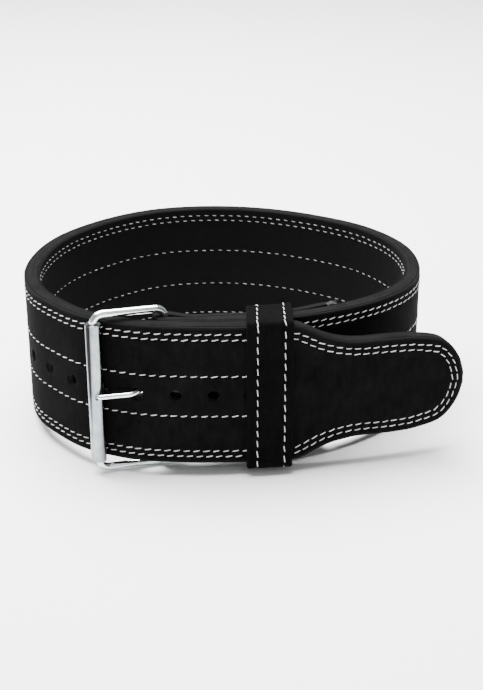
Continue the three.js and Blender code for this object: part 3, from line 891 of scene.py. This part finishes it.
def keeper_piece():
    """Loop of thick suede-covered leather with rounded long edges."""
    inner = KEEPER_GAP * 0.6
    outer = KEEPER_GAP + KEEPER_THICKNESS
    edge = 1.3
    arc = np.linspace(0, math.pi / 2, 5)
    layers = []
    half = 0.5
    inset = edge / KEEPER_WIDTH
    flat_shares = np.linspace(-half + inset, half - inset, 15)
    layers += [(share, outer) for share in flat_shares]
    layers += [(half - inset + inset * math.sin(a), outer - edge + edge * math.cos(a)) for a in arc[1:]]
    layers += [(half - inset + inset * math.cos(a), inner + edge - edge * math.sin(a)) for a in arc]
    layers += [(-half + inset - inset * math.sin(a), inner + edge - edge * math.cos(a)) for a in arc]
    layers += [(-half + inset - inset * math.cos(a), outer - edge + edge * math.sin(a)) for a in arc[:-1]]
    surfaces = []
    for share, offset in layers:
        surfaces.append(keeper_surface(np.array([share]), offset, max(offset, 0.3) * 0.95)[0])
    grid = np.stack(surfaces, 0).transpose(1, 0, 2)
    run = run_lengths(grid[:, 7])
    across = run_lengths(looped(grid[0]))
    uv = np.stack(np.meshgrid(run, across, indexing="ij"), -1) / 1000.0
    shares = np.array([share for share, _ in layers])
    offsets = np.array([offset for _, offset in layers])
    reach = (half - np.abs(shares)) * KEEPER_WIDTH
    edge_mm = np.where(offsets > outer - 0.01, reach, 0.4)
    marks = hide_marks(grid.shape[:2], edge_mm, 50.0, run[:, None])
    return loft("keeper_band", grid, uv, marks, closed_along=True)


def keeper_stitches():
    """The keeper's two rows, which run right round it."""
    rows = []
    outer = KEEPER_GAP + KEEPER_THICKNESS
    for side, inset, seed in zip((-1, 1), KEEPER_ROW_INSETS, (81, 82)):
        share = side * (0.5 - inset / KEEPER_WIDTH)
        loop = keeper_surface(np.array([share]), outer, outer * 0.95)[0]
        inside = keeper_surface(np.array([share]), outer - 1.0, (outer - 1.0) * 0.95)[0]
        normals = unit(loop - inside)
        line = resample(looped(loop), looped(normals), KEEPER_STITCH_PITCH)
        rows.append(stitches(*line, 6.0, length=5.2, seed=seed))
    return rows


# Frayed end of the tail

def frayed_end():
    """Short fibres of raw hide round the cut end of the tail, longest at its top."""
    chance = np.random.default_rng(7)
    end = rows_where(strap, np.arange(len(strap["half"])) == 0)
    away = -end["along"][0]
    outward = end["outward"][0]
    spines, widths = [], []
    for _ in range(FIBRES):
        height = BELT_WIDTH * (1 - 0.45 * chance.power(0.45) if chance.random() < 0.25 else 1.0)
        if height < BELT_WIDTH:
            height = BELT_WIDTH - abs(chance.normal(0, 7))
        else:
            height = BELT_WIDTH - chance.uniform(0, 2.5)
        depth = SUEDE_THICKNESS + GLUE_GAP + chance.uniform(0.2, FOLD_LEATHER - 0.2)
        start = lift_to_3d(end["point"][0] - outward * depth, np.array(height - 0.4))
        reach = FIBRE_LENGTH * chance.uniform(0.25, 1.0) * (0.4 + 0.6 * math.exp(-(BELT_WIDTH - height) / 8))
        course = np.array([*(away + outward * chance.normal(-0.1, 0.16)), chance.normal(0.12, 0.16)])
        droop = np.array([0.0, 0.0, chance.normal(-0.12, 0.12)])
        share = np.linspace(0, 1, 6)[:, None]
        spines.append(start + reach * (course * share + droop * share ** 2) - np.array([*away, 0.0]) * 0.3)
        widths.append(chance.uniform(0.12, 0.3) * np.linspace(1.0, 0.25, 6))
    verts, faces = [], []
    around = np.linspace(0, 2 * math.pi, 5, endpoint=False)
    for spine, width in zip(spines, widths):
        faces += tube_faces(len(verts), len(spine), len(around))
        along = unit(spine[-1] - spine[0])
        side = unit(np.cross(along, (0.0, 0.0, 1.0)))
        top = np.cross(side, along)
        for point, radius in zip(spine, width):
            verts += [point + radius * (side * math.cos(a) + top * math.sin(a)) for a in around]
    piece = mesh_object("frayed_end", np.array(verts), faces)
    outward_normals(piece)
    return piece


# Materials

class Nodes:
    """Short calls for the nodes of a tree."""

    def __init__(self, tree):
        self.tree = tree

    def node(self, kind, **settings):
        item = self.tree.nodes.new(kind)
        for key, value in settings.items():
            setattr(item, key, value)
        return item

    def feed(self, socket, value):
        if isinstance(value, bpy.types.NodeSocket):
            self.tree.links.new(value, socket)
        else:
            socket.default_value = value

    def math(self, operation, a, b=None):
        item = self.node("ShaderNodeMath", operation=operation)
        for socket, value in zip(item.inputs, (a, b)):
            if value is not None:
                self.feed(socket, value)
        return item.outputs[0]

    def weigh(self, *terms):
        """Sum of values, each times its weight."""
        parts = [self.math("MULTIPLY", value, weight) for value, weight in terms]
        total = parts[0]
        for part in parts[1:]:
            total = self.math("ADD", total, part)
        return total


class Paint(Nodes):
    """A node material on one shader."""

    def __init__(self, name):
        self.material = bpy.data.materials.new(name)
        self.material.use_nodes = True
        super().__init__(self.material.node_tree)
        self.shader = self.tree.nodes["Principled BSDF"]

    def put(self, name, value):
        self.feed(self.shader.inputs[name], value)

    def mark(self, name):
        return self.node("ShaderNodeAttribute", attribute_name=name).outputs["Fac"]

    def places(self, scale=(1, 1, 1), use_uv=False):
        source = self.node("ShaderNodeTexCoord").outputs["UV" if use_uv else "Object"]
        mapping = self.node("ShaderNodeMapping")
        self.feed(mapping.inputs["Vector"], source)
        mapping.inputs["Scale"].default_value = scale
        return mapping.outputs["Vector"]

    def noise(self, scale, detail=3.0, rough=0.55, vector=None, distortion=0.0):
        item = self.node("ShaderNodeTexNoise")
        self.feed(item.inputs["Vector"], vector or self.places())
        item.inputs["Scale"].default_value = scale
        item.inputs["Detail"].default_value = detail
        item.inputs["Roughness"].default_value = rough
        item.inputs["Distortion"].default_value = distortion
        return item.outputs["Fac"]

    def span(self, value, low, high, to_low=0.0, to_high=1.0):
        item = self.node("ShaderNodeMapRange")
        numbers = {"Value": value, "From Min": low, "From Max": high, "To Min": to_low, "To Max": to_high}
        for key, number in numbers.items():
            self.feed(item.inputs[key], number)
        return item.outputs["Result"]

    def mix(self, share, first, second):
        item = self.node("ShaderNodeMix", data_type="RGBA")
        self.feed(item.inputs[0], share)
        self.feed(item.inputs[6], first)
        self.feed(item.inputs[7], second)
        return item.outputs[2]

    def bump(self, height, distance, strength=1.0, below=None):
        item = self.node("ShaderNodeBump")
        item.inputs["Strength"].default_value = strength
        item.inputs["Distance"].default_value = distance
        self.feed(item.inputs["Height"], height)
        if below is not None:
            self.feed(item.inputs["Normal"], below)
        return item.outputs["Normal"]


def grey(value, tint=(1.0, 1.0, 1.0)):
    """Linear colour from a brightness of 0 to 255 as a picture shows it."""
    share = value / 255.0
    linear = share / 12.92 if share <= 0.04045 else ((share + 0.055) / 1.055) ** 2.4
    return (linear * tint[0], linear * tint[1], linear * tint[2], 1.0)


def suede_material(name, dark, light, rim, middle_rows=None):
    """Napped suede: brushed patches, a fine pile, a paler cut edge and a furrow along each stitch row, darkened
    with painted shade.
    """
    paint = Paint(name)
    patches = paint.noise(38.0, 4.0, 0.6, distortion=0.6)
    streaks = paint.noise(260.0, 3.0, 0.6, vector=paint.places((1, 1, 0.35)))
    pile = paint.noise(1500.0, 3.0, 0.7)
    blend = paint.weigh((patches, 0.5), (streaks, 0.35), (pile, 0.35))
    colour = paint.mix(paint.span(blend, 0.42, 0.78), dark, light)
    edge = paint.mark("edge_mm")
    frayed = paint.math("ADD", edge, paint.math("MULTIPLY", paint.noise(900.0, 2.0), -0.9))
    colour = paint.mix(paint.span(frayed, 1.6, 0.9), colour, rim)
    colour = paint.mix(paint.math("MULTIPLY", paint.mark("hole"), 0.5), colour, grey(40))
    furrow = 0.0
    if middle_rows:
        low, high = middle_rows
        run = paint.mark("run_mm")
        outside = paint.math("ADD", paint.span(run, low, low - 1.0), paint.span(run, high, high + 1.0))
        gaps = [paint.math("ABSOLUTE", paint.math("SUBTRACT", edge, inset)) for inset in EDGE_ROWS]
        inner = paint.math("ABSOLUTE", paint.math("SUBTRACT", paint.mark("off_mm"), MIDDLE_ROW))
        gaps.append(paint.math("ADD", inner, paint.math("MULTIPLY", outside, 9.0)))
        nearest = paint.math("MINIMUM", paint.math("MINIMUM", gaps[0], gaps[1]), gaps[2])
        furrow = paint.span(nearest, 0.0, 1.2)
        # Darker along each stitch row: painted shade in the furrow.
        colour = paint.mix(paint.span(nearest, 0.7, 0.2, 0.0, 0.5), colour, grey(3))
    paint.put("Base Color", colour)
    paint.put("Roughness", paint.span(patches, 0.3, 0.7, 0.9, 1.0))
    paint.put("Specular IOR Level", 0.03)
    paint.put("Sheen Weight", 0.01)
    paint.put("Sheen Roughness", 0.5)
    paint.put("Sheen Tint", grey(140))
    fine = paint.bump(pile, 0.00022, 0.7)
    nap = paint.bump(streaks, 0.0004, 0.5, fine)
    swell = paint.bump(patches, 0.0012, 0.5, nap)
    normal = paint.bump(furrow, 0.0005, 0.9, swell) if middle_rows else swell
    paint.put("Normal", normal)
    return paint.material


def leather_material():
    """Cut and dyed leather edge: fibres along the strap, ply lines, scuffs, and raw hide in holes and cut ends."""
    paint = Paint("dyed_edge")
    fibres = paint.noise(55.0, 6.0, 0.7, vector=paint.places((1, 22, 1), use_uv=True))
    plies = paint.noise(9.0, 2.0, 0.5, vector=paint.places((1, 90, 1), use_uv=True))
    grain = paint.noise(800.0, 5.0, 0.65)
    patches = paint.noise(60.0, 3.0, 0.6)
    blend = paint.weigh((fibres, 0.5), (patches, 0.25), (grain, 0.25))
    colour = paint.mix(paint.span(blend, 0.36, 0.66), grey(3), grey(24, (1.0, 0.99, 0.97)))
    colour = paint.mix(paint.span(plies, 0.56, 0.64, 0.0, 0.4), colour, grey(9))
    scuffs = paint.span(paint.noise(380.0, 6.0, 0.7), 0.6, 0.74)
    colour = paint.mix(paint.math("MULTIPLY", scuffs, 0.5), colour, grey(50))
    ends = paint.math("MAXIMUM", paint.mark("hole"), paint.span(paint.mark("run_mm"), 1.6, 0.4))
    raw = paint.mix(paint.span(grain, 0.35, 0.65), grey(20), grey(46, (1.0, 0.985, 0.95)))
    colour = paint.mix(ends, colour, raw)
    paint.put("Base Color", colour)
    paint.put("Roughness", paint.span(grain, 0.3, 0.7, 0.75, 0.95))
    paint.put("Specular IOR Level", 0.04)
    fine = paint.bump(grain, 0.0003, 0.6)
    paint.put("Normal", paint.bump(fibres, 0.0009, 0.7, fine))
    return paint.material


def thread_material(name, clean, worn):
    """Waxed thread, twisted from three plies, a little soiled."""
    paint = Paint(name)
    uv = paint.node("ShaderNodeSeparateXYZ")
    paint.feed(uv.inputs[0], paint.node("ShaderNodeTexCoord").outputs["UV"])
    phase = paint.weigh((uv.outputs[0], 4.4), (uv.outputs[1], 2 * math.pi * 3))
    plies = paint.math("ABSOLUTE", paint.math("SINE", paint.math("MULTIPLY", phase, 0.5)))
    soil = paint.noise(180.0, 3.0)
    fuzz = paint.noise(4500.0, 2.0)
    shade = paint.weigh((paint.mark("shade"), 0.45), (soil, 0.55))
    colour = paint.mix(paint.span(shade, 0.2, 0.8), clean, worn)
    # Darker between the plies: painted shade in the crevices of the twist.
    colour = paint.mix(paint.span(plies, 0.4, 0.0, 0.0, 0.5), colour, grey(120))
    paint.put("Base Color", colour)
    paint.put("Roughness", paint.span(fuzz, 0.3, 0.7, 0.5, 0.7))
    fine = paint.bump(fuzz, 0.00005, 0.4)
    paint.put("Normal", paint.bump(plies, 0.00022, 0.9, fine))
    return paint.material


def fibre_material():
    """Raw hide fibres, undyed in places."""
    paint = Paint("raw_fibres")
    tone = paint.noise(420.0, 2.0)
    tone = paint.span(tone, 0.35, 0.65)
    paint.put("Base Color", paint.mix(tone, grey(30), grey(100, (1.0, 0.98, 0.94))))
    paint.put("Roughness", paint.span(paint.noise(900.0, 2.0), 0.3, 0.7, 0.8, 1.0))
    paint.put("Specular IOR Level", 0.05)
    return paint.material


def nickel_material(name, stretch, bright, dull, scratch=0.35):
    """Bright nickel plate: faint polishing lines, handling haze, and a few pits and scratches."""
    paint = Paint(name)
    lines = paint.noise(40.0, 5.0, 0.7, vector=paint.places(stretch, use_uv=True))
    haze = paint.noise(70.0, 4.0, 0.6)
    pits = paint.span(paint.noise(900.0, 2.0, 0.5), 0.70, 0.76)
    marks = paint.span(paint.noise(300.0, 2.0, 0.5, vector=paint.places((1, 1, 0.08))), 0.66, 0.7)
    tone = paint.span(paint.weigh((haze, 0.5), (lines, 0.5)), 0.38, 0.62)
    colour = paint.mix(tone, bright, dull)
    colour = paint.mix(paint.math("MULTIPLY", pits, 0.3), colour, grey(120))
    # Darkened seam of the rolled tube, which is its own joint, and painted shade beside the prong's seat, standing
    # for the prong's shadow and reflection.
    seam_and_painted_shade = paint.mark("seam_and_painted_shade")
    colour = paint.mix(seam_and_painted_shade, colour, grey(10, (1.3, 0.7, 1.2)))
    paint.put("Base Color", colour)
    paint.put("Metallic", 1.0)
    rough = paint.weigh((marks, 0.12), (seam_and_painted_shade, 0.3))
    rough = paint.math("ADD", paint.span(haze, 0.3, 0.7, 0.12, 0.2), rough)
    paint.put("Roughness", rough)
    worn = paint.weigh((pits, -0.6), (marks, -scratch))
    fine = paint.bump(worn, 0.00006, 0.5)
    paint.put("Normal", paint.bump(lines, 0.00003, 0.35, fine))
    return paint.material


def floor_material():
    """Plain white paper with the faintest mottling."""
    paint = Paint("pale_floor")
    cloud = paint.noise(3.0, 3.0)
    paint.put("Base Color", paint.mix(cloud, grey(247), grey(250)))
    paint.put("Roughness", 0.8)
    paint.put("Specular IOR Level", 0.15)
    return paint.material


# Assembly

def finish_piece(piece, material, slot, *nodes):
    """Paints a piece, lets it ride with the belt and stand for its solids."""
    piece.data.materials.clear()
    piece.data.materials.append(material)
    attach(piece, "root")
    if nodes:
        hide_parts(*nodes)
    return piece


body_run = strap["run"][is_body]
outer_run = outer_ring["run"]
suede_out = suede_material(
    "suede_outside", grey(2), grey(15, (1.0, 1.0, 1.04)), grey(20), (outer_run[0], outer_run[-1]),
)
suede_in = suede_material("suede_inside", grey(1), grey(5), grey(12), (body_run[0], outer_run[-1]))
suede_keeper = suede_material("suede_keeper", grey(1), grey(9, (1.0, 1.0, 1.03)), grey(5))
edge_leather = leather_material()
thread = thread_material("white_thread", grey(226, (1.0, 0.985, 0.95)), grey(180, (1.0, 0.99, 0.97)))
dull_thread = thread_material("bobbin_thread", grey(165, (1.0, 0.985, 0.95)), grey(118, (1.0, 0.99, 0.97)))
nickel_wire = nickel_material(
    "nickel_wire", (4, 30, 1), grey(243, (0.96, 1.0, 1.01)), grey(224, (0.96, 1.0, 1.01)),
)
nickel_roller = nickel_material(
    "nickel_roller", (60, 3, 1), grey(160, (0.93, 1.0, 1.04)), grey(118, (0.9, 1.0, 1.07)), 0.6,
)

cutter = cutter_piece()
core_depth = SUEDE_THICKNESS + 2 * GLUE_GAP + strap["leather"]
core = layer_piece("leather_strap", strap, SUEDE_THICKNESS, core_depth, 0.0, 0.8, 5, 5)
facing = layer_piece("suede_outer_face", strap, 0.0, SUEDE_THICKNESS, SUEDE_SETBACK, 0.4, 40)
lined = rows_where(strap, strap["kind"] >= BODY)
lining_depths = (BELT_THICKNESS - SUEDE_THICKNESS, BELT_THICKNESS)
inner_face = layer_piece("suede_inner_face", lined, *lining_depths, SUEDE_SETBACK, 0.4, 40)
for piece in (core, facing, inner_face):
    cut_out(piece, cutter)
bpy.data.objects.remove(cutter)

finish_piece(core, edge_leather, "edge_leather", "leather_core")
finish_piece(facing, suede_out, "face_suede", "suede_facing")
finish_piece(inner_face, suede_in, "lining_suede", "suede_lining")
outside = stitched_face(outer_ring, stitched_tip, None, 0.0, 1, OUTER_SLANTS, STITCH_LENGTH, 10)
inside = stitched_face(
    inner_ring, stitched_tip, stitched_tail, BELT_THICKNESS, -1, INNER_SLANTS, INNER_STITCH_LENGTH, 40,
)
finish_piece(thread_piece("stitches_outside", outside), thread, "face_suede")
finish_piece(thread_piece("stitches_inside", inside), dull_thread, "lining_suede")
finish_piece(frayed_end(), fibre_material(), "edge_leather")
finish_piece(keeper_piece(), suede_keeper, "keeper_suede", "keeper_loop")
finish_piece(thread_piece("stitches_keeper", keeper_stitches()), thread, "keeper_suede")
finish_piece(buckle_frame(), nickel_wire, "nickel_plate", "buckle_frame")
finish_piece(roller_piece(), nickel_roller, "nickel_plate", "buckle_roller")
shaft, eye = prong_pieces()
finish_piece(shaft, nickel_wire, "nickel_plate", "buckle_prong")
finish_piece(eye, nickel_wire, "nickel_plate")


# Floor, light and camera

def add_floor():
    """Wide pale floor under the belt."""
    bpy.ops.mesh.primitive_plane_add(size=9.0, location=(0, 0, -0.0003))
    floor = bpy.context.object
    floor.name = "floor"
    floor.data.materials.append(floor_material())


def add_area_light(name, size, energy, where):
    """Soft square light that looks at the belt."""
    lamp = bpy.data.lights.new(name, "AREA")
    lamp.shape = "SQUARE"
    lamp.size = size
    lamp.energy = energy
    holder = bpy.data.objects.new(name, lamp)
    holder.location = where
    holder.rotation_euler = (Vector((0, 0, 0.05)) - Vector(where)).to_track_quat("-Z", "Y").to_euler()
    bpy.context.scene.collection.objects.link(holder)


def add_world():
    """White tent round the belt, darker at its right and brighter at its left."""
    world = bpy.data.worlds.new("studio")
    world.use_nodes = True
    nodes = Nodes(world.node_tree)
    backdrop = nodes.tree.nodes["Background"]
    way = nodes.node("ShaderNodeSeparateXYZ")
    nodes.feed(way.inputs[0], nodes.node("ShaderNodeTexCoord").outputs["Generated"])
    bearing = nodes.math("ARCTAN2", way.outputs[0], nodes.math("MULTIPLY", way.outputs[1], -1.0))
    strength = WORLD_LEVEL
    for centre, width, height in WORLD_HUMPS:
        off = nodes.math("SUBTRACT", bearing, math.radians(centre))
        off = nodes.math("DIVIDE", off, math.radians(width))
        fall = nodes.math("MULTIPLY", nodes.math("MULTIPLY", off, off), -1.0)
        hump = nodes.math("MULTIPLY", nodes.math("POWER", math.e, fall), height)
        strength = nodes.math("ADD", hump, strength)
    nodes.feed(backdrop.inputs["Strength"], strength)
    backdrop.inputs["Color"].default_value = (0.95, 0.98, 1.0, 1.0)
    bpy.context.scene.world = world


def add_camera():
    """Camera at the photo's angle to the belt."""
    raised = math.radians(CAMERA_ELEVATION)
    rolled = math.radians(CAMERA_ROLL)
    forward = np.array([0, math.cos(raised), -math.sin(raised)])
    right = np.array([1.0, 0, 0])
    up = np.cross(right, forward)
    cos, sin = math.cos(rolled), math.sin(rolled)
    right, up = right * cos + up * sin, up * cos - right * sin
    eye = stand(np.array(CAMERA_AIM) - forward * CAMERA_DISTANCE)
    axes = turn(np.stack([right, up, -forward]))
    lens = bpy.data.cameras.new("photo_camera")
    lens.sensor_fit = "VERTICAL"
    lens.sensor_height = SENSOR
    lens.lens = FOCAL_PIXELS / PHOTO_HEIGHT * SENSOR
    camera = bpy.data.objects.new("photo_camera", lens)
    pose = Matrix(axes.T.tolist()).to_4x4()
    pose.translation = Vector(eye)
    camera.matrix_world = pose
    bpy.context.scene.collection.objects.link(camera)
    bpy.context.scene.camera = camera


add_floor()
add_area_light("top", 1.7, 230.0, (-0.3, 0.35, 1.6))
add_area_light("fill", 1.2, 6.0, (0.3, -1.6, 1.3))
add_world()
add_camera()
